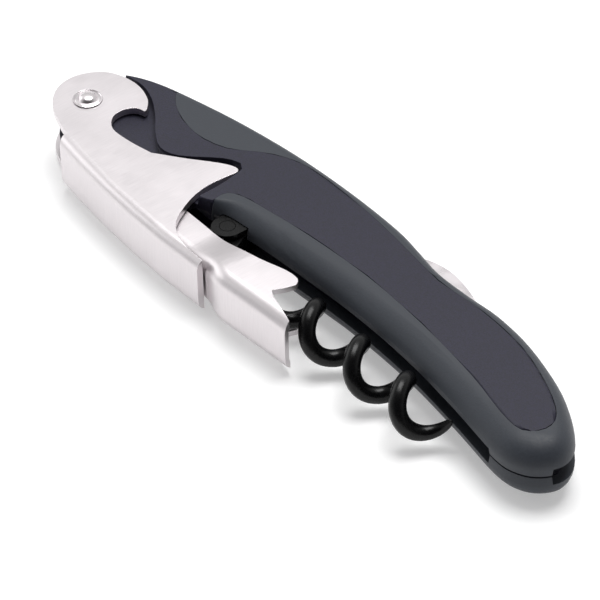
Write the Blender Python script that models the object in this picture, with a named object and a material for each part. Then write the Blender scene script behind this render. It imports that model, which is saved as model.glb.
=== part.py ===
"""Double-lever waiter's corkscrew, closed and lying on its side.

The handle runs along +X from the lever's rivet to the tail, the lever is on the -Y side and
the knife on the +Y side, so every hinge turns about Z.  Sizes are millimetres; MM turns them
into Blender's metres.
"""
import math

import bmesh
import bpy
from mathutils import Matrix, Vector

MM = 0.001

# ---- driving dimensions, millimetres -------------------------------------------------------
HANDLE_TAIL_X = 113.0          # rivet centre to the end of the tail
WAIST_X = 70.0                 # where the handle's back is hollowed for the hand
HANDLE_HALF = 5.2              # half of the handle's thickness
SLOT_HALF = 1.5                # half of the gap between the two shells
PLATE_INSET = 0.2              # how far the lever's plates lie inside the handle's faces
SHEET = 1.2                    # lever sheet
NECK_SHEET = 1.0               # second lever's sheet inside the first one
BEND_RADIUS = 1.9              # outer radius of the first lever's bends
SECOND_BEND = 2.4              # outer radius of the second lever's bends
GRIP_DEPTH = 1.0               # soft grip's thickness over the shell core
TAIL_LIP = 1.8                 # wall of the grips where they meet round the tail
BLADE = 1.2                    # knife thickness
WIRE = 2.9                     # worm wire diameter
COIL_RADIUS = 2.85             # worm mean radius
PITCH = 11.0                   # worm pitch
WORM_END_X = 93.6              # worm's point
WORM_AXIS_Y = -3.1
SHANK_Y = -5.6                 # the straight shank runs nearer the lever than the coil's axis
SHANK_END_X = 52.0
FLARE = 9.0                    # length over which the shank opens into the coil
RIVET_RADIUS = 1.5
RIVET_HEAD = 2.45
PIN_RADIUS = 1.25
SCREW_RADIUS = 1.1
BUSH_WALL = 0.8
TUBE_WALL = 0.9                # spacer tube round the tail screw
YOKE_SHEET = 0.8               # plates that hold the worm's pin
YOKE_RADIUS = 2.6
YOKE_LENGTH = 5.4              # worm's pin to the plates' root
KNUCKLE_RADIUS = 3.0
NOSE_WALL = 0.8                # knuckle's wall round the wire
NOSE_ROOM = 1.4                # pocket's length beyond the knuckle's barrel

# ---- clearances ----------------------------------------------------------------------------
RUN = 0.3                      # between parts that slide past each other
SEAT = 0.15                    # between parts that are fixed together
PRESS = 0.1                    # round a pin or a wire in its hole
SEAM_TUCK = 0.25               # how far the grips' edges round in at the seam

# ---- places --------------------------------------------------------------------------------
RIVET = (0.0, 0.0)
LIP_LENGTH = 10.0              # from the tail's end back to where the grips meet
LIP_END_Y = 3.6                # where the slot opens again at the tail
WEB_END_X = 44.8               # end of the first lever's web
HINGE = (27.5, -6.2)           # second lever's hinge in the first one
WORM_PIN = (38.8, -0.8)
KNIFE_PIN = (101.0, 6.6)
SCREWS = {"head": (15.8, 6.0), "middle": (48.5, 11.6), "tail": (84.0, 8.3)}
KNUCKLE_NOSE = (42.6, SHANK_Y)

# ---- worked out from the sizes above -------------------------------------------------------
LIP_START_X = HANDLE_TAIL_X - LIP_LENGTH
LEVER_HALF = HANDLE_HALF - PLATE_INSET
RECESS_Z = LEVER_HALF - SHEET - RUN
NECK_HALF = LEVER_HALF - SHEET - RUN
INNER_HALF = SLOT_HALF - SEAT
CORE_TOP = HANDLE_HALF - GRIP_DEPTH
PIN_HALF = CORE_TOP - 2 * PRESS
KNUCKLE_HALF = NECK_HALF - NECK_SHEET - RUN - PRESS
YOKE_LOW = KNUCKLE_HALF + RUN
YOKE_TOP = YOKE_LOW + YOKE_SHEET
NOSE_RADIUS = WIRE / 2 + NOSE_WALL


# ---- plane geometry ------------------------------------------------------------------------
def arc(centre, radius, start, end, steps):
    """Points on an arc, angles in degrees."""
    points = []
    for i in range(steps + 1):
        angle = math.radians(start + (end - start) * i / steps)
        points.append((centre[0] + radius * math.cos(angle), centre[1] + radius * math.sin(angle)))
    return points


def spline(knots, steps, closed=False):
    """Catmull-Rom curve through the knots, which are tuples of any length."""
    count = len(knots)
    spans = count if closed else count - 1
    points = []
    for i in range(spans):
        if closed:
            quad = [knots[(i + k) % count] for k in (-1, 0, 1, 2)]
        else:
            quad = [knots[min(max(i + k, 0), count - 1)] for k in (-1, 0, 1, 2)]
        for j in range(steps):
            t = j / steps
            weights = (
                -0.5 * t + t * t - 0.5 * t ** 3,
                1 - 2.5 * t * t + 1.5 * t ** 3,
                0.5 * t + 2 * t * t - 1.5 * t ** 3,
                -0.5 * t * t + 0.5 * t ** 3,
            )
            size = len(quad[0])
            points.append(tuple(sum(w * q[k] for w, q in zip(weights, quad)) for k in range(size)))
    if not closed:
        points.append(tuple(knots[-1]))
    return points


def area(points):
    """Signed area of a closed outline."""
    return sum(a[0] * b[1] - b[0] * a[1] for a, b in zip(points, points[1:] + points[:1])) / 2


def moved_in(points, distances):
    """The outline moved towards its inside by a distance, or by one distance per point."""
    if not hasattr(distances, "__len__"):
        distances = [distances] * len(points)
    sign = 1 if area([p[:2] for p in points]) > 0 else -1
    result = []
    for i, point in enumerate(points):
        back = Vector(points[i - 1][:2])
        ahead = Vector(points[(i + 1) % len(points)][:2])
        along = (ahead - back).normalized()
        step = sign * distances[i]
        result.append((point[0] - step * along.y, point[1] + step * along.x))
    return result


# ---- solids --------------------------------------------------------------------------------
def finish(mesh_data, name, material=None, parent=None, smooth_angle=35):
    """An object from a bmesh in millimetres, shaded smooth under the angle."""
    bmesh.ops.remove_doubles(mesh_data, verts=mesh_data.verts, dist=1e-4)
    bmesh.ops.recalc_face_normals(mesh_data, faces=mesh_data.faces)
    mesh_data.transform(Matrix.Scale(MM, 4))
    mesh = bpy.data.meshes.new(name)
    mesh_data.to_mesh(mesh)
    mesh_data.free()
    mesh.shade_smooth()
    mesh.set_sharp_from_angle(angle=math.radians(smooth_angle))
    thing = bpy.data.objects.new(name, mesh)
    bpy.context.scene.collection.objects.link(thing)
    if material:
        mesh.materials.append(material)
    if parent:
        attach(thing, parent)
    return thing


def attach(thing, parent):
    """Parents an object whose mesh is in world millimetres to an empty, keeping its place."""
    thing.parent = parent
    thing.location = -parent_origin(parent)


def parent_origin(empty):
    """World place of an empty before the part is moved onto its origin."""
    place = Vector(empty.location)
    while empty.parent:
        empty = empty.parent
        place += empty.location
    return place


def loops_to_solid(loops, name, **kwargs):
    """Closed solid through a stack of point loops, capped at both ends."""
    shape = bmesh.new()
    rings = [[shape.verts.new(p) for p in loop] for loop in loops]
    count = len(rings[0])
    for low, high in zip(rings, rings[1:]):
        for i in range(count):
            j = (i + 1) % count
            shape.faces.new((low[i], low[j], high[j], high[i]))
    shape.faces.new(rings[0])
    shape.faces.new(rings[-1])
    return finish(shape, name, **kwargs)


def prism(outline, low, high, name, **kwargs):
    """Flat outline raised from one height to another."""
    return loops_to_solid([[(x, y, z) for x, y in outline] for z in (low, high)], name, **kwargs)


def turned(profile, centre, name, steps=24, **kwargs):
    """Solid of revolution about Z from (radius, z) pairs that run from axis to axis."""
    shape = bmesh.new()
    verts = [shape.verts.new((centre[0] + r, centre[1], z)) for r, z in profile]
    edges = [shape.edges.new(pair) for pair in zip(verts, verts[1:])]
    if profile[0][0] > 0:
        edges.append(shape.edges.new((verts[-1], verts[0])))
    bmesh.ops.spin(
        shape, geom=verts + edges, cent=(centre[0], centre[1], 0), axis=(0, 0, 1),
        angle=2 * math.pi, steps=steps, use_merge=True, use_duplicate=False,
    )
    return finish(shape, name, **kwargs)


def rod(centre, radius, low, high, name, steps=24, **kwargs):
    """Plain cylinder along Z."""
    return prism(arc(centre, radius, 0, 360 - 360 / steps, steps - 1), low, high, name, **kwargs)


def tube_along(path, radii, name, sides=12, **kwargs):
    """Round bar along a path of points, with one radius for each point."""
    loops = []
    normal = Vector((0, 0, 1))
    for i, point in enumerate(path):
        ahead = Vector(path[min(i + 1, len(path) - 1)]) - Vector(path[max(i - 1, 0)])
        along = ahead.normalized()
        normal = (normal - along * normal.dot(along)).normalized()
        other = along.cross(normal)
        loop = []
        for k in range(sides):
            angle = 2 * math.pi * k / sides
            loop.append(Vector(point) + radii[i] * (math.cos(angle) * normal + math.sin(angle) * other))
        loops.append(loop)
    return loops_to_solid(loops, name, **kwargs)


def cut(thing, tool, operation="DIFFERENCE"):
    """Boolean modifier that keeps the tool out of sight."""
    modifier = thing.modifiers.new(operation.title(), "BOOLEAN")
    modifier.operation = operation
    modifier.object = tool
    modifier.solver = "EXACT"
    tool.hide_render = True
    tool.hide_viewport = False
    tool.display_type = "WIRE"
    return thing


# ---- materials -----------------------------------------------------------------------------
def material(name, color, roughness, metallic=0.0):
    """Principled material with a plain colour."""
    made = bpy.data.materials.new(name)
    made.use_nodes = True
    shader = made.node_tree.nodes["Principled BSDF"]
    shader.inputs["Base Color"].default_value = (*color, 1)
    shader.inputs["Roughness"].default_value = roughness
    shader.inputs["Metallic"].default_value = metallic
    return made


# ---- outlines ------------------------------------------------------------------------------
def rear(share):
    """X of a point that lies between the handle's waist and the end of its tail."""
    return WAIST_X + share * (HANDLE_TAIL_X - WAIST_X)


def handle_outline():
    """Handle seen from above: (x, y, width of its rounded edge) all the way round."""
    tail = HANDLE_TAIL_X
    knots = [
        (-4.9, -2.3, 0.5), (-5.3, 1.5, 0.5), (-4.4, 5.4, 0.5), (-1.9, 8.6, 0.5),
        (2.4, 11.7, 1.2), (7.7, 13.9, 2.0), (18.8, 16.6, 2.4), (32.0, 18.6, 2.6),
        (45.0, 19.4, 2.6), (57.0, 19.3, 2.6), (63.5, 18.4, 2.4), (70.0, 17.3, 2.2),
        (rear(0.163), 17.5, 2.4), (rear(0.321), 18.0, 2.6), (rear(0.505), 17.2, 2.8),
        (rear(0.712), 14.8, 3.0), (rear(0.86), 11.8, 3.2), (rear(0.965), 8.4, 3.6), (tail, 5.0, 4.0),
        (rear(0.97), 1.6, 4.4), (rear(0.902), -0.6, 4.6), (rear(0.795), -1.2, 4.6),
        (rear(0.535), 0.5, 4.4), (rear(0.233), 2.0, 4.2),
        (66.0, 2.4, 4.2), (56.0, 1.9, 4.2), (47.5, 1.4, 4.0), (41.6, 0.8, 3.6), (37.6, 0.4, 2.8),
        (35.2, -0.3, 1.4), (33.4, -1.0, 0.5), (30.6, -1.7, 0.5), (21.0, -3.0, 0.5),
        (9.0, -5.0, 0.5), (0.5, -5.5, 0.5),
    ]
    return spline(knots, 4, closed=True)


def hard_face_outline():
    """Border between the hard shell's face and the soft grip."""
    crescent = [(7.6, 15.0), (7.9, 12.0), (12.0, 9.3), (18.5, 8.0), (25.0, 9.6), (31.0, 14.4),
                (38.0, 16.8)]
    back = [(50.0, 16.9), (60.0, 16.1), (rear(0.047), 14.8), (rear(0.279), 15.4),
            (rear(0.512), 14.6), (rear(0.721), 11.8)]
    tail = [(rear(0.851), 8.8), (rear(0.884), 5.6), (rear(0.837), 2.8), (rear(0.721), 3.0)]
    under = [(rear(0.512), 4.9), (rear(0.186), 6.6), (64.0, 7.2), (50.0, 6.3), (41.0, 5.1), (36.6, 4.3),
             (34.4, 3.2), (33.8, 1.6), (34.2, -0.2)]
    curve = spline(crescent + back + tail + under, 3)
    return curve + [(34.2, -12.0), (-12.0, -12.0), (-12.0, 15.0)]


def lever_head():
    """Round head of the first lever with the crown-cap hook, from its neck to the beak."""
    lobe = spline([(3.0, -7.4), (-2.3, -5.4), (-5.8, -1.9), (-6.5, 2.3), (-4.6, 6.3), (-1.1, 8.2),
                   (2.6, 8.6), (6.2, 7.6), (8.3, 5.9)], 4)
    hook = spline([(8.5, 5.3), (6.9, 4.7), (6.0, 3.0), (6.4, 0.5), (9.0, -1.4), (13.5, -1.2),
                   (18.0, -0.3)], 4)
    return lobe, hook


def first_lever_outline():
    """First lever seen from above, with the beak at its end and the web's tongue."""
    lobe, hook = lever_head()
    edge = spline([(22.8, 3.2), (27.2, 6.7), (29.6, 7.9), (30.7, 7.4), (30.6, 5.6), (30.5, 1.8),
                   (31.6, -2.6), (34.6, -7.6), (38.2, -9.6), (41.6, -10.1)], 3)
    tongue = [(WEB_END_X, -10.1), (WEB_END_X, -14.0), (6.8, -14.0), (6.0, -10.4), (5.2, -9.0),
              (4.9, -7.8)]
    return lobe + hook + edge + tongue


def recess_outline():
    """Area of the handle's faces that is lowered for the lever's plates."""
    wall = spline([(-3.4, 9.4), (-1.2, 8.6), (2.7, 9.05), (6.6, 8.1), (10.6, 5.9), (14.2, 3.3),
                   (18.0, 1.5), (21.6, 2.6), (26.6, 7.6), (29.4, 9.0)], 3)
    sweep_radius = 31.9
    return wall + arc(RIVET, sweep_radius, 15.0, -9.0, 7) + [(31.4, -13.0), (-9.0, -13.0), (-9.0, 9.4)]


# ---- levers --------------------------------------------------------------------------------
def channel(stations, top, bend, name, **kwargs):
    """U-shaped sheet channel, open towards +Y, through (x, web y, half height, sheet) stations."""
    bend_steps = 5
    loops = []
    for x, web, half, sheet in stations:
        outer = [(top, half)]
        outer += [(web + bend - bend * math.sin(a), half - bend + bend * math.cos(a))
                  for a in [math.pi / 2 * i / bend_steps for i in range(bend_steps + 1)]]
        inner_bend = bend - sheet
        inner = [(top, half - sheet)]
        inner += [(web + bend - inner_bend * math.sin(a), half - bend + inner_bend * math.cos(a))
                  for a in [math.pi / 2 * i / bend_steps for i in range(bend_steps + 1)]]
        half_loop = outer + [(y, -z) for y, z in reversed(outer)]
        back_loop = [(y, -z) for y, z in inner] + list(reversed(inner))
        loops.append([(x, y, z) for y, z in half_loop + back_loop])
    return loops_to_solid(loops, name, **kwargs)


def web_line(x):
    """Outer face of the first lever's web, a shallow arch along the handle."""
    return -11.65 + 0.0025 * (x - 34.0) ** 2


def first_lever(metal, parent):
    """Head, hook, beak and web of the first lever, cut from one bent sheet."""
    stations = [(x, web_line(x), LEVER_HALF, SHEET) for x in (-9.0, 4.0, 12.0, 20.0, 28.0, 36.0, 50.0)]
    lever = channel(stations, 12.0, BEND_RADIUS, "first_lever", material=metal, parent=parent)
    cut(lever, prism(first_lever_outline(), -9, 9, "first_lever_outline", parent=parent), "INTERSECT")
    cut(lever, rod(RIVET, RIVET_RADIUS + PRESS, -9, 9, "first_lever_bore", parent=parent))
    deep = LEVER_HALF - SHEET / 2
    cut(lever, rod(HINGE, PIN_RADIUS + PRESS, -deep, deep, "hinge_sockets", steps=16, parent=parent))
    return lever


def second_lever(metal, parent):
    """Second lever: neck inside the first one, flared end with the bottle-lip notch."""
    lift = SHEET + RUN
    rise = LEVER_HALF - NECK_HALF
    stations = [(x, web_line(x) + lift, NECK_HALF, NECK_SHEET) for x in (20.0, 28.0, 36.0, 39.0)]
    for x, share in ((40.5, 0.06), (42.0, 0.2), (43.5, 0.42), (45.0, 0.66)):
        stations.append((x, web_line(x) + lift, NECK_HALF + share * rise, NECK_SHEET))
    for x, web, share in ((46.2, -10.0, 0.82), (47.4, -10.4, 0.93), (48.8, -10.7, 0.99),
                          (50.5, -10.75, 1.0), (56.0, -10.3, 1.0), (68.0, -9.4, 1.0)):
        stations.append((x, web, NECK_HALF + share * rise, NECK_SHEET))
    lever = channel(stations, 4.0, SECOND_BEND, "second_lever", material=metal, parent=parent)
    eye = arc(HINGE, 3.0, 245, 90, 8)
    upper = spline([(32.0, -3.7), (38.0, -3.7), (45.0, -3.8), (50.0, -3.1), (55.0, -1.6),
                    (57.8, -1.5), (58.8, -2.6)], 3)
    notch = [(58.2, -4.6), (57.4, -6.2), (58.6, -6.9), (64.6, -8.4), (64.9, -9.4), (64.9, -14.0),
             (HINGE[0] + 0.9, -14.0)]
    cut(lever, prism(eye + upper + notch, -9, 9, "second_lever_outline", parent=parent), "INTERSECT")
    cut(lever, rod(HINGE, PIN_RADIUS + PRESS, -9, 9, "second_lever_bore", steps=16, parent=parent))
    return lever


def hinge_spring(metal, parent):
    """Torsion spring round the hinge pin that holds the second lever straight."""
    wire, turns, coil = 0.3, 3.5, PIN_RADIUS + RUN + 0.2
    path = [(HINGE[0] - 6.0, HINGE[1] - coil, -1.5)]
    steps = 16
    for i in range(int(turns * steps) + 1):
        angle = -math.pi / 2 + 2 * math.pi * i / steps
        rise = -1.5 + 3.0 * i / (turns * steps)
        path.append((HINGE[0] + coil * math.cos(angle), HINGE[1] + coil * math.sin(angle), rise))
    path.append((HINGE[0] - 6.0, HINGE[1] + coil, 1.5))
    return tube_along(path, [wire] * len(path), "lever_spring", sides=6, material=metal, parent=parent)


# ---- handle --------------------------------------------------------------------------------
def handle_half(side, name, **kwargs):
    """One half of the handle's outer form, with its rounded edge; side is +1 or -1."""
    outline = handle_outline()
    levels = 7
    loops = []
    for i in range(levels + 1):
        turn = math.pi / 2 * i / levels
        ring = moved_in(outline, [width * (1 - math.cos(turn)) for _, _, width in outline])
        height = SLOT_HALF + (HANDLE_HALF - SLOT_HALF) * math.sin(turn)
        loops.append([(x, y, side * height) for x, y in ring])
    skirt = moved_in(outline, SEAM_TUCK)
    loops.insert(0, [(x, y, side * RUN / 2) for x, y in skirt])
    return loops_to_solid(loops, name, **kwargs)


def slot_form(side, label, parent):
    """Half of the slot between the shells, which a lip closes round the tail."""
    inner = moved_in(handle_outline(), TAIL_LIP)
    lip = [p for p in inner if p[0] > LIP_START_X and p[1] < LIP_END_Y]
    outline = [(-20, 40), (-20, -20), (LIP_START_X, -20), (LIP_START_X, lip[-1][1])] + lip[::-1]
    outline += [(HANDLE_TAIL_X + 5, lip[0][1]), (HANDLE_TAIL_X + 5, 40)]
    return prism(outline, *between(-0.5, SLOT_HALF, side), f"{label}_slot", parent=parent)


def core_outline(gap):
    """The handle's outline moved in so far that the core stays under the grip's rounded edge."""
    outline = handle_outline()
    return moved_in(outline, [0.7 * GRIP_DEPTH + 0.32 * width - gap for _, _, width in outline])


def between(low, high, side):
    """The two heights on one side of the mid plane, in rising order."""
    return sorted((side * low, side * high))


def shell(side, label, plastic, parent):
    """Hard shell: face, core under the grip, lever recess, and the seats of pins and screws."""
    made = handle_half(side, f"{label}_shell", material=plastic, parent=parent)
    core_line = core_outline(0)
    form = prism(hard_face_outline(), *between(1, 9, side), f"{label}_face_form", parent=parent)
    core = prism(core_line, *between(1, CORE_TOP, side), f"{label}_core_form", parent=parent)
    cut(form, core, "UNION")
    cut(made, slot_form(side, label, parent))
    cut(made, knuckle_pocket(side, label, parent))
    cut(made, yoke_form(side, SEAT, f"{label}_yoke_seat", parent=parent))
    cut(made, form, "INTERSECT")
    cut(made, prism(recess_outline(), *between(RECESS_Z, 9, side), f"{label}_recess", parent=parent))
    low, high = between(0, 9, side)
    cut(made, rod(RIVET, bush_radius() + PRESS, low, high, f"{label}_rivet_bore", parent=parent))
    low, high = between(1, PIN_HALF + PRESS, side)
    seat = f"{label}_knife_pin_seat"
    cut(made, rod(KNIFE_PIN, PIN_RADIUS + PRESS, low, high, seat, steps=16, parent=parent))
    for tag, spot in SCREWS.items():
        cut(made, screw_form(spot, side, PRESS, f"{label}_{tag}_screw_seat", parent=parent))
    return made


def grip(side, label, rubber, parent):
    """Soft grip moulded over the shell's edge, with the crescent for the thumb."""
    made = handle_half(side, f"{label}_grip", material=rubber, parent=parent)
    face = moved_in(hard_face_outline(), -SEAT)
    form = prism(face, *between(1, 9, side), f"{label}_grip_cut", parent=parent)
    core_line = core_outline(SEAT)
    core = prism(core_line, *between(1, CORE_TOP + SEAT, side), f"{label}_grip_core_cut", parent=parent)
    cut(form, core, "UNION")
    cut(made, slot_form(side, f"{label}_grip", parent))
    cut(made, knuckle_pocket(side, f"{label}_grip", parent))
    cut(made, yoke_form(side, SEAT, f"{label}_grip_yoke_seat", parent=parent))
    cut(made, form)
    return made


def knuckle_pocket(side, label, parent):
    """Room in the shells for the worm's knuckle to turn."""
    reach = math.dist(KNUCKLE_NOSE, WORM_PIN) + NOSE_RADIUS + RUN
    x, y = WORM_PIN
    shoulder = y + (KNUCKLE_RADIUS + RUN) * math.sin(math.radians(30))
    outline = arc(WORM_PIN, KNUCKLE_RADIUS + RUN, 150, 30, 10)
    outline += [(x + reach, shoulder), (x + reach, y - 7), (x - reach, y - 7)]
    outline += [(x - reach, y), (x - KNUCKLE_RADIUS - NOSE_ROOM, y)]
    low, high = between(1, KNUCKLE_HALF + RUN, side)
    return prism(outline, low, high, f"{label}_knuckle_pocket", parent=parent)


def yoke_form(side, gap, name, **kwargs):
    """One plate of the yoke that holds the worm's pin, or its seat where a gap is given."""
    radius = YOKE_RADIUS + gap
    x, y = WORM_PIN
    root_y = y + YOKE_LENGTH + gap
    outline = arc(WORM_PIN, radius, 180, 360, 12) + [(x + radius, root_y), (x - radius, root_y)]
    low = YOKE_LOW if gap == 0 else 1
    return prism(outline, *between(low, YOKE_TOP + gap, side), name, **kwargs)


def worm_yoke(side, label, metal, parent):
    """Steel plate between a shell and the worm's knuckle."""
    made = yoke_form(side, 0, f"{label}_worm_yoke", material=metal, parent=parent)
    bore = f"{label}_worm_yoke_bore"
    cut(made, rod(WORM_PIN, PIN_RADIUS + PRESS, -9, 9, bore, steps=16, parent=parent))
    return made


def bush_radius():
    """Outer radius of the bush round the lever's rivet."""
    return RIVET_RADIUS + PRESS + BUSH_WALL


def screw_form(spot, side, clearance, name, **kwargs):
    """Countersunk shell screw, head on the -Z side, or the seat that a clearance leaves for it."""
    face, tip, head = HANDLE_HALF, HANDLE_HALF - 1.3, 2.0
    radius = SCREW_RADIUS + clearance
    lowest = -face - 0.2 if clearance else -face + 0.15
    profile = [(0, lowest), (head + clearance, lowest), (head + clearance, -face + 0.6),
               (radius, -face + 1.7), (radius, tip + clearance - 0.4), (0, tip + clearance)]
    return turned(profile, spot, name, steps=16, **kwargs)


# ---- inner pieces --------------------------------------------------------------------------
def head_spacer(metal, parent):
    """Steel spacer between the shells, from the rivet to the knuckle's pocket."""
    outline = spline([(-3.6, -1.6), (-3.9, 1.4), (-2.4, 5.2), (3.0, 9.4), (12.0, 12.4), (24.0, 14.6),
                      (32.0, 15.2), (33.6, 10.0), (32.0, 4.0), (24.0, -0.6), (12.0, -2.9),
                      (2.0, -4.0)], 3, closed=True)
    made = prism(outline, -INNER_HALF, INNER_HALF, "head_spacer", material=metal, parent=parent)
    cut(made, rod(RIVET, bush_radius() + PRESS, -3, 3, "head_spacer_bore", parent=parent))
    screw = rod(SCREWS["head"], SCREW_RADIUS + PRESS, -3, 3, "head_spacer_screw_bore", steps=16,
                parent=parent)
    cut(made, screw)
    return made


def pivot_bush(metal, parent):
    """Brass tube that the lever's rivet turns in."""
    inner = RIVET_RADIUS + PRESS
    outer = bush_radius()
    profile = [(inner, -RECESS_Z), (outer, -RECESS_Z), (outer, RECESS_Z), (inner, RECESS_Z)]
    return turned(profile, RIVET, "pivot_bush", material=metal, parent=parent)


def main_rivet(metal, parent):
    """Rivet with a flat collar and a domed middle at both ends."""
    seat = LEVER_HALF + PRESS
    collar = seat + 0.25
    dome = RIVET_HEAD * 0.65
    top = [(RIVET_RADIUS, seat), (RIVET_HEAD, seat), (RIVET_HEAD, collar), (dome, collar),
           (dome * 0.85, collar + 0.3), (dome * 0.45, collar + 0.5), (0, collar + 0.55)]
    profile = [(r, -z) for r, z in reversed(top)] + top
    return turned(profile, RIVET, "main_rivet", material=metal, parent=parent)


def shell_ring(tag, spot, metal, parent):
    """Spacer tube round a shell screw, between the shells."""
    inner = SCREW_RADIUS + PRESS
    outer = inner + TUBE_WALL
    profile = [(inner, -INNER_HALF), (outer, -INNER_HALF), (outer, INNER_HALF), (inner, INNER_HALF)]
    return turned(profile, spot, f"{tag}_spacer_tube", steps=16, material=metal, parent=parent)


def knife(metal, parent):
    """Foil knife with a tang round its pin and a thumb arc that stands out of the handle's back."""
    tang = arc(KNIFE_PIN, 4.2, -150, 60, 12)
    back = spline([(97.5, 12.6), (90.0, 15.2), (82.0, 17.6), (77.0, 19.1), (72.0, 20.6), (67.0, 21.2),
                   (62.6, 20.2), (60.0, 18.0)], 3)
    edge = spline([(59.4, 16.8), (62.0, 15.2), (68.0, 14.4), (80.0, 13.8), (90.0, 12.4), (97.2, 9.6)], 3)
    half = BLADE / 2
    blade = prism(tang + back + edge, -half, half, "knife_blade", material=metal, parent=parent)
    cut(blade, rod(KNIFE_PIN, PIN_RADIUS + PRESS, -3, 3, "knife_bore", steps=16, parent=parent))
    return blade


def knife_washer(side, label, metal, parent):
    """Thin washer beside the knife's tang."""
    low, high = between(BLADE / 2 + PRESS, INNER_HALF - PRESS / 2, side)
    profile = [(PIN_RADIUS + PRESS, low), (3.2, low), (3.2, high), (PIN_RADIUS + PRESS, high)]
    return turned(profile, KNIFE_PIN, f"{label}_knife_washer", steps=20, material=metal, parent=parent)


def knife_spring(metal, parent):
    """Flat spring held by the middle screw that bears on the knife's tang."""
    eye = arc(SCREWS["middle"], 2.9, 60, 300, 10)
    lower = spline([(56.0, 10.4), (68.0, 11.5), (84.0, 11.5), (92.0, 9.3), (96.1, 6.4)], 3)
    upper = spline([(96.5, 7.6), (92.5, 10.4), (84.0, 12.7), (68.0, 12.7), (56.0, 12.8)], 3)
    made = prism(eye + lower + upper, -INNER_HALF, INNER_HALF, "knife_spring", material=metal,
                 parent=parent)
    screw = rod(SCREWS["middle"], SCREW_RADIUS + PRESS, -3, 3, "knife_spring_bore", steps=16,
                parent=parent)
    cut(made, screw)
    return made


def pin(name, spot, half, metal, parent):
    """Plain cross pin."""
    return rod(spot, PIN_RADIUS, -half, half, name, steps=16, material=metal, parent=parent)


# ---- worm ----------------------------------------------------------------------------------
def worm_knuckle(metal, parent):
    """Cast knuckle on the worm's pin, with a nose that the wire is pressed into."""
    outline = arc(WORM_PIN, KNUCKLE_RADIUS, 35, 235, 14) + arc(KNUCKLE_NOSE, NOSE_RADIUS, -110, 60, 10)
    made = prism(outline, -KNUCKLE_HALF, KNUCKLE_HALF, "worm_knuckle", material=metal, parent=parent)
    cut(made, rod(WORM_PIN, PIN_RADIUS + PRESS, -4, 4, "knuckle_bore", steps=16, parent=parent))
    x, y = KNUCKLE_NOSE
    bore = [(x - 0.6, y, 0), (x + 6, y, 0)]
    cut(made, tube_along(bore, [WIRE / 2 + PRESS] * 2, "knuckle_wire_bore", parent=parent))
    return made


def worm(metal, parent):
    """Wire from the knuckle along the coil's axis, out into the coil, thinning to its point."""
    phase_x = WORM_END_X - 3 * PITCH
    steps = 24
    path = [(KNUCKLE_NOSE[0] - 0.4, SHANK_Y, 0), (SHANK_END_X - WIRE, SHANK_Y, 0)]
    count = int((WORM_END_X - SHANK_END_X) / PITCH * steps)
    radii = [WIRE / 2] * 2
    for i in range(count + 1):
        x = SHANK_END_X + (WORM_END_X - SHANK_END_X) * i / count
        angle = 2 * math.pi * (x - phase_x) / PITCH
        t = min(1.0, (x - SHANK_END_X) / FLARE)
        share = t * t * (3 - 2 * t)
        swing = COIL_RADIUS * share
        y = SHANK_Y + (WORM_AXIS_Y - SHANK_Y) * share
        path.append((x, y + swing * math.cos(angle), swing * math.sin(angle)))
        radii.append(WIRE / 2 * min(1.0, 0.1 + 0.9 * math.sqrt((WORM_END_X - x) / (0.35 * PITCH))))
    return tube_along(path, radii, "worm", sides=12, material=metal, parent=parent)


# ---- assembly ------------------------------------------------------------------------------
def empty(name, spot, parent=None):
    """Empty on a joint's axis; the spot is in world millimetres before the final shift."""
    made = bpy.data.objects.new(name, None)
    bpy.context.scene.collection.objects.link(made)
    place = Vector((spot[0], spot[1], 0)) * MM
    if parent:
        made.parent = parent
        place -= parent_origin(parent)
    made.location = place
    return made


def clear_scene():
    """Removes whatever the file holds."""
    for thing in list(bpy.data.objects):
        bpy.data.objects.remove(thing, do_unlink=True)


def seat_on_origin(root):
    """Moves the whole part so that its box stands on the origin, centred."""
    view = bpy.context.evaluated_depsgraph_get()
    spots = []
    for thing in bpy.data.objects:
        if thing.type == "MESH" and not thing.hide_render:
            spots += [thing.matrix_world @ Vector(c) for c in thing.evaluated_get(view).bound_box]
    low = [min(spot[axis] for spot in spots) for axis in range(3)]
    high = [max(spot[axis] for spot in spots) for axis in range(3)]
    root.location = (-(low[0] + high[0]) / 2, -(low[1] + high[1]) / 2, -low[2])


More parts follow.
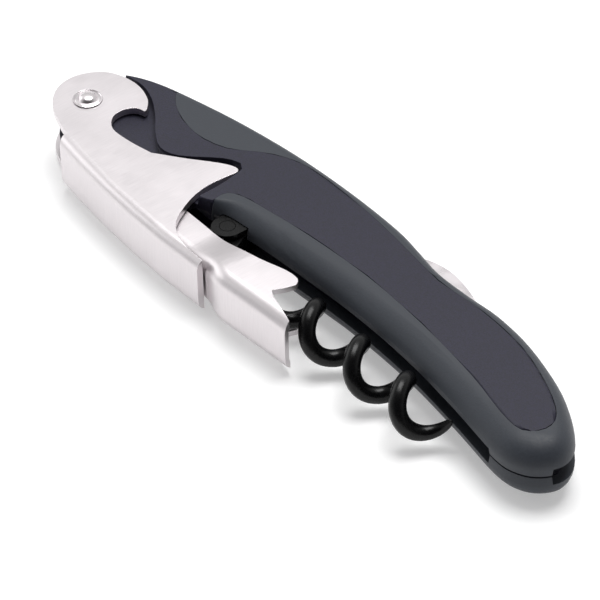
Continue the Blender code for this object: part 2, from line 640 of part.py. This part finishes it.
def build():
    """Makes every piece and moves the part onto its origin."""
    clear_scene()
    steel = material("brushed_stainless_steel", (0.62, 0.61, 0.62), 0.32, 1.0)
    polished = material("polished_stainless_steel", (0.72, 0.72, 0.73), 0.12, 1.0)
    plastic = material("textured_dark_plastic", (0.045, 0.042, 0.052), 0.55)
    rubber = material("soft_touch_rubber", (0.11, 0.125, 0.125), 0.7)
    brass = material("brass_bush", (0.62, 0.42, 0.16), 0.3, 1.0)
    black = material("black_coated_steel", (0.008, 0.008, 0.009), 0.28)
    spring_steel = material("spring_steel", (0.4, 0.4, 0.41), 0.35, 1.0)

    root = empty("corkscrew_origin", (0, 0))
    handle = empty("handle_body", (0, 0), root)
    lever_joint = empty("first_lever_joint", RIVET, root)
    second_joint = empty("second_lever_joint", HINGE, lever_joint)
    worm_joint = empty("worm_joint", WORM_PIN, root)
    knife_joint = empty("knife_joint", KNIFE_PIN, root)

    for side, label in ((1, "upper"), (-1, "lower")):
        shell(side, label, plastic, handle)
        grip(side, label, rubber, handle)
        knife_washer(side, label, brass, handle)
        worm_yoke(side, label, black, handle)
    head_spacer(steel, handle)
    pivot_bush(brass, handle)
    pin("worm_pin", WORM_PIN, YOKE_TOP, spring_steel, handle)
    pin("knife_pin", KNIFE_PIN, PIN_HALF, spring_steel, handle)
    knife_spring(spring_steel, handle)
    for tag, spot in SCREWS.items():
        screw_form(spot, -1, 0, f"{tag}_shell_screw", material=polished, parent=handle)
    shell_ring("tail", SCREWS["tail"], steel, handle)

    main_rivet(polished, lever_joint)
    first_lever(steel, lever_joint)
    pin("lever_hinge_pin", HINGE, LEVER_HALF - SHEET / 2 - PRESS, spring_steel, lever_joint)
    hinge_spring(spring_steel, lever_joint)
    second_lever(steel, second_joint)
    worm_knuckle(black, worm_joint)
    worm(black, worm_joint)
    knife(polished, knife_joint)

    seat_on_origin(root)


build()
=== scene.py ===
"""Double-lever waiter's corkscrew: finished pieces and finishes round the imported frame."""

import math

import bmesh
import bpy
from bpy.props import FloatProperty, FloatVectorProperty, PointerProperty
from mathutils import Matrix, Vector
from mathutils.bvhtree import BVHTree


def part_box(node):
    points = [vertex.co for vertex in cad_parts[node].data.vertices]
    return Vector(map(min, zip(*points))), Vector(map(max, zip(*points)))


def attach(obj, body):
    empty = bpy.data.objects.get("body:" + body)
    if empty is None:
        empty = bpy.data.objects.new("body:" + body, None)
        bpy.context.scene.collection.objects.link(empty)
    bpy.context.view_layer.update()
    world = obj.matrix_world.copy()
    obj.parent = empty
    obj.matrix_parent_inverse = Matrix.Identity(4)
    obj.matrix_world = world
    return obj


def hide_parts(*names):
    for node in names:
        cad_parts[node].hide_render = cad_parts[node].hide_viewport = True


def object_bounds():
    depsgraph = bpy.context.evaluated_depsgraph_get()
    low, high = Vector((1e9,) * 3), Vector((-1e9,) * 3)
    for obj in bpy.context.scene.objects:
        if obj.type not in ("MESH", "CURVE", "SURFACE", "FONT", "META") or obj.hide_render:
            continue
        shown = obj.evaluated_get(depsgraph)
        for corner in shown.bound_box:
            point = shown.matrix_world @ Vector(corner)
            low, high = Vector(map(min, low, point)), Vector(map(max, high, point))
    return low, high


bl_info = {
    "name": "Waiter's corkscrew",
    "version": (1, 0, 0),
    "blender": (4, 5, 0),
    "location": "3D View > Sidebar > Corkscrew",
    "description": "Builds the visible pieces of a double-lever waiter's corkscrew and its studio",
    "category": "Add Mesh",
}

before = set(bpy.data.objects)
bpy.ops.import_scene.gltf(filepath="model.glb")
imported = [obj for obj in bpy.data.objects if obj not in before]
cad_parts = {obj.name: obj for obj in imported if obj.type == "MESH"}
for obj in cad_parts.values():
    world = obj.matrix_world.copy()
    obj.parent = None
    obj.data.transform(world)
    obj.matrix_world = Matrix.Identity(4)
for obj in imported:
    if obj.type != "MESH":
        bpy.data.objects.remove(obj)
CAD_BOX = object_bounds()

MM = 0.001
MERGE = 0.002 * MM             # corners of the CAD triangles that are one corner
FLAT = math.radians(0.6)       # faces closer to one plane than this are one face
SHARP = math.radians(34)       # edges sharper than this are shaded as creases
CREASE = math.radians(50)      # edges sharper than this are rounded on the steel
UPRIGHT = 0.2                  # a wall's normal leans less than this
SEAM_REACH = 0.22 * MM         # widest gap that is a closed seam on the real tool
HAIRLINE = 0.03 * MM           # what is left of it


# ---- colour and nodes ----------------------------------------------------------------------
def linear(code):
    """Linear RGB of an sRGB hex colour."""
    values = [int(code[i:i + 2], 16) / 255 for i in (1, 3, 5)]
    return tuple(v / 12.92 if v <= 0.04045 else ((v + 0.055) / 1.055) ** 2.4 for v in values)


def add_node(tree, kind, settings=None, links=None):
    """Adds a node, sets its inputs or its own properties, and links its inputs."""
    node = tree.nodes.new(kind)
    for key, value in (settings or {}).items():
        if isinstance(key, int) or key in node.inputs:
            node.inputs[key].default_value = value
        else:
            setattr(node, key, value)
    for key, socket in (links or {}).items():
        tree.links.new(socket, node.inputs[key])
    return node


def start_material(name, settings):
    """New material: its node tree and its Principled shader with constant settings."""
    made = bpy.data.materials.new(name)
    made.use_nodes = True
    shader = made.node_tree.nodes["Principled BSDF"]
    for key, value in settings.items():
        shader.inputs[key].default_value = value
    return made, made.node_tree, shader


def pattern(tree, size_mm, stretch=(1, 1, 1), detail=3.0, roughness=0.55):
    """Noise whose lumps are size_mm across, longer along an axis by the stretch."""
    place = add_node(tree, "ShaderNodeTexCoord")
    scale = [1 / (size_mm * MM * s) for s in stretch]
    turn = add_node(tree, "ShaderNodeMapping", {"Scale": scale}, {"Vector": place.outputs["Object"]})
    noise = add_node(
        tree, "ShaderNodeTexNoise", {"Scale": 1.0, "Detail": detail, "Roughness": roughness},
        {"Vector": turn.outputs["Vector"]},
    )
    return noise.outputs["Fac"]


def tint(tree, factor, dark, light, low=0.3, high=0.7):
    """Colour that runs from dark to light as the factor goes from low to high."""
    ramp = add_node(tree, "ShaderNodeValToRGB", links={"Fac": factor})
    ends = ramp.color_ramp.elements
    ends[0].position, ends[0].color = low, (*dark, 1)
    ends[1].position, ends[1].color = high, (*light, 1)
    return ramp.outputs["Color"]


def spread(tree, factor, low, high):
    """Number that runs from low to high with the factor."""
    node = add_node(
        tree, "ShaderNodeMapRange",
        {"From Min": 0.3, "From Max": 0.7, "To Min": low, "To Max": high}, {"Value": factor},
    )
    return node.outputs["Result"]


def relief(tree, height, depth_mm, strength=1.0):
    """Bump of a real depth."""
    node = add_node(
        tree, "ShaderNodeBump", {"Strength": strength, "Distance": depth_mm * MM}, {"Height": height},
    )
    return node.outputs["Normal"]


def shade(colour, factor):
    """A lighter or darker version of a linear colour."""
    return tuple(min(1.0, channel * factor) for channel in colour)


# ---- finishes ------------------------------------------------------------------------------
def brushed_stainless(colours):
    """Stainless sheet brushed across the tool: soft streaks that break up its reflections."""
    made, tree, shader = start_material("brushed_stainless_sheet", {"Metallic": 1.0})
    # the real grit lines are some 0.05 mm wide; they are drawn 0.16 mm wide so that they show
    streaks = pattern(tree, 0.16, (1, 22, 22), detail=3.0, roughness=0.6)
    clouds = pattern(tree, 9.0, (1, 1, 1), detail=2.0)
    steel = tuple(colours.steel)
    colour = tint(tree, streaks, shade(steel, 0.95), shade(steel, 1.02))
    tree.links.new(colour, shader.inputs["Base Color"])
    gloss = add_node(
        tree, "ShaderNodeMath", {"operation": "ADD"},
        {0: spread(tree, streaks, 0.34, 0.4), 1: spread(tree, clouds, -0.02, 0.03)},
    )
    tree.links.new(gloss.outputs["Value"], shader.inputs["Roughness"])
    tree.links.new(relief(tree, streaks, 0.0006), shader.inputs["Normal"])
    return made


def tumbled_edge(colours):
    """Edge of the same sheet after tumbling: smoother and brighter than its faces."""
    made, tree, shader = start_material("tumbled_stainless_edge", {"Metallic": 1.0})
    nicks = pattern(tree, 0.8, detail=2.0)
    colour = tint(tree, nicks, shade(tuple(colours.steel), 0.9), shade(tuple(colours.steel), 1.08))
    tree.links.new(colour, shader.inputs["Base Color"])
    tree.links.new(spread(tree, nicks, 0.12, 0.26), shader.inputs["Roughness"])
    return made


def polished_stainless(colours):
    """Polished stainless: soft mirror with very shallow waves."""
    made, tree, shader = start_material("polished_stainless", {"Metallic": 1.0})
    waves = pattern(tree, 3.5, detail=1.0)
    colour = tint(tree, waves, shade(tuple(colours.steel), 0.98), shade(tuple(colours.steel), 1.1))
    tree.links.new(colour, shader.inputs["Base Color"])
    tree.links.new(spread(tree, waves, 0.22, 0.32), shader.inputs["Roughness"])
    tree.links.new(relief(tree, waves, 0.001), shader.inputs["Normal"])
    return made


def spring_steel(colours):
    """Drawn and ground spring steel: darker, with fine rings from grinding."""
    made, tree, shader = start_material("ground_spring_steel", {"Metallic": 1.0})
    rings = pattern(tree, 0.2, (20, 20, 1), detail=3.0)
    colour = tint(tree, rings, shade(tuple(colours.steel), 0.5), shade(tuple(colours.steel), 0.66))
    tree.links.new(colour, shader.inputs["Base Color"])
    tree.links.new(spread(tree, rings, 0.28, 0.42), shader.inputs["Roughness"])
    return made


def turned_brass(colours):
    """Turned brass: fine rings across the axis and a slight tarnish."""
    made, tree, shader = start_material("turned_brass", {"Metallic": 1.0})
    rings = pattern(tree, 0.15, (30, 30, 1), detail=3.0)
    tarnish = pattern(tree, 1.8, detail=3.0)
    colour = tint(tree, tarnish, linear("#8f6b35"), linear("#caa45f"))
    tree.links.new(colour, shader.inputs["Base Color"])
    tree.links.new(spread(tree, rings, 0.22, 0.4), shader.inputs["Roughness"])
    return made


def textured_abs(colours):
    """ABS moulded in a spark-eroded cavity: fine even grain and a dull plum-grey colour."""
    settings = {"IOR": 1.54, "Specular IOR Level": 0.3}
    made, tree, shader = start_material("spark_textured_abs", settings)
    grain = pattern(tree, 0.22, detail=2.0, roughness=0.7)
    clouds = pattern(tree, 14.0, detail=2.0)
    body = tuple(colours.hard_plastic)
    speckle = tint(tree, grain, shade(body, 0.45), shade(body, 1.6))
    drift = tint(tree, clouds, (0.93, 0.93, 0.95), (1.0, 1.0, 1.0))
    mixed = add_node(
        tree, "ShaderNodeMix", {"data_type": "RGBA", "blend_type": "MULTIPLY", 0: 1.0},
        {6: speckle, 7: drift},
    )
    tree.links.new(mixed.outputs[2], shader.inputs["Base Color"])
    tree.links.new(spread(tree, grain, 0.5, 0.64), shader.inputs["Roughness"])
    tree.links.new(relief(tree, grain, 0.05), shader.inputs["Normal"])
    return made


def soft_touch_tpe(colours):
    """Over-moulded TPE: matt grey-green skin with a soft sheen and a few rubbed, dusty spots."""
    settings = {"IOR": 1.5, "Specular IOR Level": 0.35, "Sheen Weight": 0.08, "Sheen Roughness": 0.4}
    made, tree, shader = start_material("soft_touch_tpe", settings)
    skin = pattern(tree, 0.35, detail=3.0, roughness=0.6)
    dust = pattern(tree, 1.1, detail=6.0, roughness=0.8)
    body = tuple(colours.soft_grip)
    base = tint(tree, skin, shade(body, 0.88), shade(body, 1.12))
    specks = add_node(
        tree, "ShaderNodeMapRange",
        {"From Min": 0.69, "From Max": 0.76, "To Min": 0.0, "To Max": 0.6}, {"Value": dust},
    )
    mixed = add_node(
        tree, "ShaderNodeMix", {"data_type": "RGBA", "blend_type": "MIX", 7: (*linear("#8a8c8a"), 1)},
        {0: specks.outputs["Result"], 6: base},
    )
    tree.links.new(mixed.outputs[2], shader.inputs["Base Color"])
    tree.links.new(spread(tree, skin, 0.46, 0.6), shader.inputs["Roughness"])
    tree.links.new(relief(tree, skin, 0.025, 0.9), shader.inputs["Normal"])
    return made


def non_stick_coating(colours):
    """Sprayed non-stick coat on wire: black satin with a slight orange peel."""
    settings = {"IOR": 1.42, "Specular IOR Level": 0.32}
    made, tree, shader = start_material("sprayed_non_stick_coat", settings)
    peel = pattern(tree, 0.5, detail=3.0)
    body = tuple(colours.coating)
    tree.links.new(tint(tree, peel, shade(body, 0.8), shade(body, 1.3)), shader.inputs["Base Color"])
    tree.links.new(spread(tree, peel, 0.24, 0.32), shader.inputs["Roughness"])
    tree.links.new(relief(tree, peel, 0.005, 0.6), shader.inputs["Normal"])
    return made


def studio_paper(colours):
    """Matt white sheet lit from below, as on a light table, with a barely seen tooth."""
    settings = {
        "Roughness": 0.85, "IOR": 1.4, "Emission Color": (1, 1, 1, 1), "Emission Strength": 0.36,
    }
    made, tree, shader = start_material("matt_background_paper", settings)
    tooth = pattern(tree, 2.0, detail=2.0)
    colour = tint(tree, tooth, shade(tuple(colours.paper), 0.985), tuple(colours.paper))
    tree.links.new(colour, shader.inputs["Base Color"])
    return made


FINISHES = {
    "brushed_steel": brushed_stainless,
    "steel_edge": tumbled_edge,
    "polished_steel": polished_stainless,
    "spring_steel": spring_steel,
    "brass": turned_brass,
    "hard_plastic": textured_abs,
    "soft_grip": soft_touch_tpe,
    "black_coating": non_stick_coating,
    "paper": studio_paper,
}


def finish_of(slot):
    """The material of a finish, made the first time it is asked for."""
    scene = bpy.context.scene
    key = f"finish_{slot}"
    if key not in scene:
        scene[key] = FINISHES[slot](scene.corkscrew_finish).name
    return bpy.data.materials[scene[key]]


# ---- pieces --------------------------------------------------------------------------------
def merged_copy(node):
    """A bmesh of a CAD node's mesh with its loose triangles joined and its flats made whole."""
    shape = bmesh.new()
    shape.from_mesh(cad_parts[node].data)
    bmesh.ops.remove_doubles(shape, verts=shape.verts, dist=MERGE)
    bmesh.ops.dissolve_degenerate(shape, edges=shape.edges, dist=MERGE)
    bmesh.ops.dissolve_limit(
        shape, angle_limit=FLAT, use_dissolve_boundaries=False,
        verts=shape.verts, edges=shape.edges, delimit=set(),
    )
    return shape


def crease_edges(shape):
    """Edges whose faces meet at more than CREASE."""
    return [
        edge for edge in shape.edges
        if len(edge.link_faces) == 2 and edge.calc_face_angle(0) > CREASE
    ]


def close_seam(shape, neighbour):
    """Brings upright walls that run along a neighbour's up to it, short of a hairline."""
    wall = BVHTree.FromBMesh(neighbour)
    for vert in shape.verts:
        if not any(abs(face.normal.z) < UPRIGHT for face in vert.link_faces):
            continue
        spot, normal, _, distance = wall.find_nearest(vert.co, SEAM_REACH)
        if spot and HAIRLINE < distance and abs(normal.z) < UPRIGHT:
            vert.co += (spot - vert.co) * (1 - HAIRLINE / distance)


def round_edges(shape, edges, width, segments=2, edge_slot=-1):
    """Rounds edges by a width in metres."""
    bmesh.ops.bevel(
        shape, geom=edges, offset=width, offset_type="OFFSET", segments=segments, profile=0.5,
        affect="EDGES", clamp_overlap=True, material=edge_slot, loop_slide=True,
    )


def place_piece(shape, name, body, slots, replaced):
    """Turns a bmesh into a piece that rides on a body and stands for CAD nodes."""
    mesh = bpy.data.meshes.new(name)
    shape.to_mesh(mesh)
    shape.free()
    for slot in slots:
        mesh.materials.append(finish_of(slot))
    mesh.shade_smooth()
    mesh.set_sharp_from_angle(angle=SHARP)
    piece = bpy.data.objects.new(name, mesh)
    bpy.context.scene.collection.objects.link(piece)
    flats = piece.modifiers.new("Flat faces stay flat", "WEIGHTED_NORMAL")
    flats.keep_sharp = True
    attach(piece, body)
    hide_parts(*replaced)
    return piece


def centre_of(node):
    """Middle of a CAD node's box."""
    low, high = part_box(node)
    return (low + high) / 2


def spun(profile, centre, steps=48):
    """A bmesh turned about a vertical line from (radius, height) pairs in millimetres."""
    shape = bmesh.new()
    verts = [shape.verts.new((centre.x + r * MM, centre.y, centre.z + z * MM)) for r, z in profile]
    edges = [shape.edges.new(pair) for pair in zip(verts, verts[1:])]
    bmesh.ops.spin(
        shape, geom=verts + edges, cent=centre, axis=(0, 0, 1), angle=2 * math.pi,
        steps=steps, use_merge=True, use_duplicate=False,
    )
    bmesh.ops.remove_doubles(shape, verts=shape.verts, dist=MERGE)
    bmesh.ops.recalc_face_normals(shape, faces=shape.faces)
    return shape


# ---- settings ------------------------------------------------------------------------------
class CORKSCREW_PG_finish(bpy.types.PropertyGroup):
    """Colours of the finishes."""
    steel: FloatVectorProperty(
        name="Steel", description="Colour of the stainless sheet", subtype="COLOR", size=3,
        min=0.0, max=1.0, default=linear("#dbd6d8"))
    hard_plastic: FloatVectorProperty(
        name="Hard plastic", description="Colour of the shells' faces", subtype="COLOR", size=3,
        min=0.0, max=1.0, default=linear("#201f2f"))
    soft_grip: FloatVectorProperty(
        name="Soft grip", description="Colour of the over-moulded grips", subtype="COLOR", size=3,
        min=0.0, max=1.0, default=linear("#31353c"))
    coating: FloatVectorProperty(
        name="Coating", description="Colour of the worm's coat", subtype="COLOR", size=3,
        min=0.0, max=1.0, default=linear("#060607"))
    paper: FloatVectorProperty(
        name="Paper", description="Colour of the background paper", subtype="COLOR", size=3,
        min=0.0, max=1.0, default=linear("#dcdcdc"))


class CORKSCREW_PG_sizes(bpy.types.PropertyGroup):
    """Radius of the edges that the CAD model leaves sharp."""
    sheet_edge: FloatProperty(
        name="Sheet edge", description="Rounding of the steel sheet's edges", unit="LENGTH",
        default=0.16 * MM, min=0.02 * MM, max=0.4 * MM)


class CORKSCREW_PG_stage(bpy.types.PropertyGroup):
    """Camera and lights."""
    lens: FloatProperty(
        name="Lens", description="Focal length of the camera in millimetres", default=235.8,
        min=20.0, max=600.0)
    key_power: FloatProperty(
        name="Overhead light", description="Power of the overhead soft box", unit="POWER",
        default=7.4, min=0.0, max=100.0)


# ---- operators -----------------------------------------------------------------------------
class CORKSCREW_OT_shells(bpy.types.Operator):
    """Hard shells: the faces of the handle with the lever's recess"""
    bl_idname = "corkscrew.shells"
    bl_label = "Hard shells"

    def execute(self, context):
        for node in ("upper_shell", "lower_shell"):
            shape = merged_copy(node)
            neighbour = merged_copy(node.replace("shell", "grip"))
            close_seam(shape, neighbour)
            neighbour.free()
            place_piece(shape, f"{node}_moulding", "handle", ["hard_plastic"], [node])
        return {"FINISHED"}


class CORKSCREW_OT_grips(bpy.types.Operator):
    """Soft grips moulded over the shells' edges"""
    bl_idname = "corkscrew.grips"
    bl_label = "Soft grips"

    def execute(self, context):
        for node in ("upper_grip", "lower_grip"):
            shape = merged_copy(node)
            place_piece(shape, f"{node}_overmould", "handle", ["soft_grip"], [node])
        return {"FINISHED"}


class CORKSCREW_OT_levers(bpy.types.Operator):
    """The two levers, bent from stainless sheet, with tumbled edges"""
    bl_idname = "corkscrew.levers"
    bl_label = "Levers"

    def execute(self, context):
        sizes = context.scene.corkscrew_sizes
        for node, body in (("first_lever", "first_lever_body"), ("second_lever", "second_lever_body")):
            shape = merged_copy(node)
            edges = crease_edges(shape)
            round_edges(shape, edges, sizes.sheet_edge, 2, 1)
            place_piece(shape, f"{node}_sheet", body, ["brushed_steel", "steel_edge"], [node])
        return {"FINISHED"}


class CORKSCREW_OT_rivet(bpy.types.Operator):
    """Rivet with a rolled collar and a domed middle at both ends"""
    bl_idname = "corkscrew.rivet"
    bl_label = "Lever rivet"

    def execute(self, context):
        low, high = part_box("main_rivet")
        half = (high.z - low.z) / 2 / MM
        top = [
            (1.5, half - 0.8), (2.4, half - 0.8), (2.45, half - 0.74), (2.42, half - 0.66),
            (2.3, half - 0.62), (2.22, half - 0.66), (2.16, half - 0.74), (2.08, half - 0.68),
            (1.7, half - 0.6), (1.6, half - 0.62), (1.54, half - 0.7), (1.46, half - 0.62),
            (1.34, half - 0.4), (1.1, half - 0.2), (0.75, half - 0.06), (0.4, half), (0.0, half),
        ]
        profile = [(r, -z) for r, z in reversed(top)] + top
        shape = spun(profile, centre_of("main_rivet"))
        place_piece(shape, "formed_rivet", "first_lever_body", ["polished_steel"], ["main_rivet"])
        return {"FINISHED"}


class CORKSCREW_OT_worm(bpy.types.Operator):
    """Coated worm and the knuckle that holds it"""
    bl_idname = "corkscrew.worm"
    bl_label = "Worm"

    def execute(self, context):
        sizes = context.scene.corkscrew_sizes
        shape = merged_copy("worm")
        wire = place_piece(shape, "coated_wire_worm", "worm_body", ["black_coating"], ["worm"])
        smooth = wire.modifiers.new("Round wire", "SUBSURF")
        smooth.levels = 1
        smooth.render_levels = 1
        shape = merged_copy("worm_knuckle")
        round_edges(shape, crease_edges(shape), 2 * sizes.sheet_edge, 3)
        place_piece(shape, "cast_knuckle", "worm_body", ["black_coating"], ["worm_knuckle"])
        return {"FINISHED"}


class CORKSCREW_OT_knife(bpy.types.Operator):
    """Foil knife with rounded edges; its grind isn't modelled"""
    bl_idname = "corkscrew.knife"
    bl_label = "Foil knife"

    def execute(self, context):
        sizes = context.scene.corkscrew_sizes
        shape = merged_copy("knife_blade")
        round_edges(shape, crease_edges(shape), sizes.sheet_edge, 2)
        place_piece(shape, "ground_knife_blade", "knife_body", ["polished_steel"], ["knife_blade"])
        return {"FINISHED"}


class CORKSCREW_OT_screws(bpy.types.Operator):
    """Countersunk shell screws with a plain round socket"""
    bl_idname = "corkscrew.screws"
    bl_label = "Shell screws"

    def execute(self, context):
        for tag in ("head", "middle", "tail"):
            node = f"{tag}_shell_screw"
            low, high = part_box(node)
            length = (high.z - low.z) / MM
            profile = [
                (0.0, 0.75), (0.95, 0.75), (0.95, 0.08), (1.0, 0.0), (1.85, 0.0), (2.0, 0.12),
                (2.0, 0.45), (1.1, 1.5), (1.1, length - 0.5), (0.0, length - 0.05),
            ]
            foot = Vector((*centre_of(node).xy, low.z))
            shape = spun(profile, foot)
            place_piece(shape, f"{tag}_socket_screw", "handle", ["polished_steel"], [node])
        return {"FINISHED"}


class CORKSCREW_OT_inner_parts(bpy.types.Operator):
    """Finishes of the inner parts that keep their CAD shape"""
    bl_idname = "corkscrew.inner_parts"
    bl_label = "Inner parts"

    def execute(self, context):
        slots = {
            "brushed_steel": ["head_spacer", "tail_spacer_tube"],
            "spring_steel": ["knife_pin", "knife_spring", "lever_hinge_pin", "lever_spring"],
            "brass": ["pivot_bush", "upper_knife_washer", "lower_knife_washer"],
            # the worm pin gets the worm's black coat so that its end shows as dark as the shade round
            # it: painted shade, not the pin's own colour
            "black_coating": ["upper_worm_yoke", "lower_worm_yoke", "worm_pin"],
        }
        for slot, names in slots.items():
            for name in names:
                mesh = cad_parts[name].data
                mesh.materials.clear()
                mesh.materials.append(finish_of(slot))
        return {"FINISHED"}


class CORKSCREW_OT_stage(bpy.types.Operator):
    """Pale floor, soft lights and the camera"""
    bl_idname = "corkscrew.stage"
    bl_label = "Stage"

    def execute(self, context):
        add_floor()
        add_lights(context.scene.corkscrew_stage)
        add_camera(context.scene.corkscrew_stage)
        context.scene.view_settings.view_transform = "Standard"
        return {"FINISHED"}


# ---- stage ---------------------------------------------------------------------------------
VIEW_BACK = Vector((0.61321, -0.45913, 0.64279))     # from the tool towards the camera
RIVET_TO_CAMERA = Vector((429.94, -279.80, 390.67)) * MM
CAMERA_ROLL = math.radians(-1.5)
SENSOR_WIDTH = 36                                    # millimetres
FLOOR_SIZE = 3.0                                     # half of the floor's width, in metres
FLOOR_GAP = 0.02 * MM
OVERHEAD_PLACE = (-0.12, 0.2, 0.85)
OVERHEAD_SIZE = (0.62, 0.5)
LEFT_PLACE = (-0.65, -0.25, 0.3)
LEFT_SIZE = (0.5, 0.4)
LEFT_SHARE = 0.1                                     # of the overhead light's power
DARK_ROOM = (0.1, 0.095, 0.1)                        # the room's colour behind the camera
ROOM_STRENGTH = 0.72


def add_floor():
    """Large white sheet under the tool."""
    shape = bmesh.new()
    bmesh.ops.create_grid(shape, x_segments=8, y_segments=8, size=FLOOR_SIZE)
    bmesh.ops.translate(shape, verts=shape.verts, vec=(0, 0, CAD_BOX[0].z - FLOOR_GAP))
    mesh = bpy.data.meshes.new("paper_floor")
    shape.to_mesh(mesh)
    shape.free()
    mesh.materials.append(finish_of("paper"))
    floor = bpy.data.objects.new("paper_floor", mesh)
    bpy.context.scene.collection.objects.link(floor)


def add_soft_box(name, place, aim, size, power):
    """Area light at a place that faces a point."""
    lamp = bpy.data.lights.new(name, "AREA")
    lamp.shape = "RECTANGLE"
    lamp.size, lamp.size_y = size
    lamp.energy = power
    box = bpy.data.objects.new(name, lamp)
    bpy.context.scene.collection.objects.link(box)
    box.location = place
    box.rotation_euler = (Vector(aim) - Vector(place)).to_track_quat("-Z", "Y").to_euler()


def add_lights(stage):
    """Overhead soft box, a low one from the left, and a room that is pale behind the tool."""
    middle = (CAD_BOX[0] + CAD_BOX[1]) / 2
    power = stage.key_power
    add_soft_box("overhead_soft_box", OVERHEAD_PLACE, middle, OVERHEAD_SIZE, power)
    add_soft_box("left_soft_box", LEFT_PLACE, middle, LEFT_SIZE, power * LEFT_SHARE)
    room = bpy.data.worlds.new("pale_room")
    bpy.context.scene.world = room
    room.use_nodes = True
    tree = room.node_tree
    place = add_node(tree, "ShaderNodeTexCoord")
    dark_side = add_node(
        tree, "ShaderNodeVectorMath", {"operation": "DOT_PRODUCT", 1: VIEW_BACK},
        {0: place.outputs["Generated"]},
    )
    colour = tint(tree, dark_side.outputs["Value"], (1.0, 1.0, 1.0), DARK_ROOM, 0.1, 0.85)
    back = tree.nodes["Background"]
    tree.links.new(colour, back.inputs["Color"])
    back.inputs["Strength"].default_value = ROOM_STRENGTH


def add_camera(stage):
    """Camera above the worm's side, near the tail."""
    lens = bpy.data.cameras.new("camera")
    lens.lens = stage.lens
    lens.sensor_width = SENSOR_WIDTH
    lens.clip_start = 0.01
    camera = bpy.data.objects.new("camera", lens)
    bpy.context.scene.collection.objects.link(camera)
    turn = VIEW_BACK.to_track_quat("Z", "Y").to_matrix().to_4x4()
    place = centre_of("main_rivet") + RIVET_TO_CAMERA
    camera.matrix_world = Matrix.Translation(place) @ turn @ Matrix.Rotation(CAMERA_ROLL, 4, "Z")
    bpy.context.scene.camera = camera


# ---- panel and registration ----------------------------------------------------------------
OPERATORS = (
    CORKSCREW_OT_shells, CORKSCREW_OT_grips, CORKSCREW_OT_levers, CORKSCREW_OT_rivet,
    CORKSCREW_OT_worm, CORKSCREW_OT_knife, CORKSCREW_OT_screws, CORKSCREW_OT_inner_parts,
    CORKSCREW_OT_stage,
)


class CORKSCREW_PT_panel(bpy.types.Panel):
    """Lists the pieces, their colours and their sizes"""
    bl_label = "Corkscrew"
    bl_idname = "CORKSCREW_PT_panel"
    bl_space_type = "VIEW_3D"
    bl_region_type = "UI"
    bl_category = "Corkscrew"

    def draw(self, context):
        scene = context.scene
        for group in (scene.corkscrew_finish, scene.corkscrew_sizes, scene.corkscrew_stage):
            box = self.layout.box()
            for key in group.__annotations__:
                box.prop(group, key)
        for operator in OPERATORS:
            self.layout.operator(operator.bl_idname)


SETTINGS = {
    "corkscrew_finish": CORKSCREW_PG_finish,
    "corkscrew_sizes": CORKSCREW_PG_sizes,
    "corkscrew_stage": CORKSCREW_PG_stage,
}


def register():
    """Registers the settings, the operators and the panel."""
    for name, group in SETTINGS.items():
        bpy.utils.register_class(group)
        setattr(bpy.types.Scene, name, PointerProperty(type=group))
    for item in OPERATORS + (CORKSCREW_PT_panel,):
        bpy.utils.register_class(item)


def unregister():
    """Undoes register."""
    for item in reversed(OPERATORS + (CORKSCREW_PT_panel,)):
        bpy.utils.unregister_class(item)
    for name, group in SETTINGS.items():
        delattr(bpy.types.Scene, name)
        bpy.utils.unregister_class(group)


def main():
    register()
    for operator in OPERATORS:
        group, name = operator.bl_idname.split(".")
        getattr(getattr(bpy.ops, group), name)()


if __name__ == "__main__":
    main()
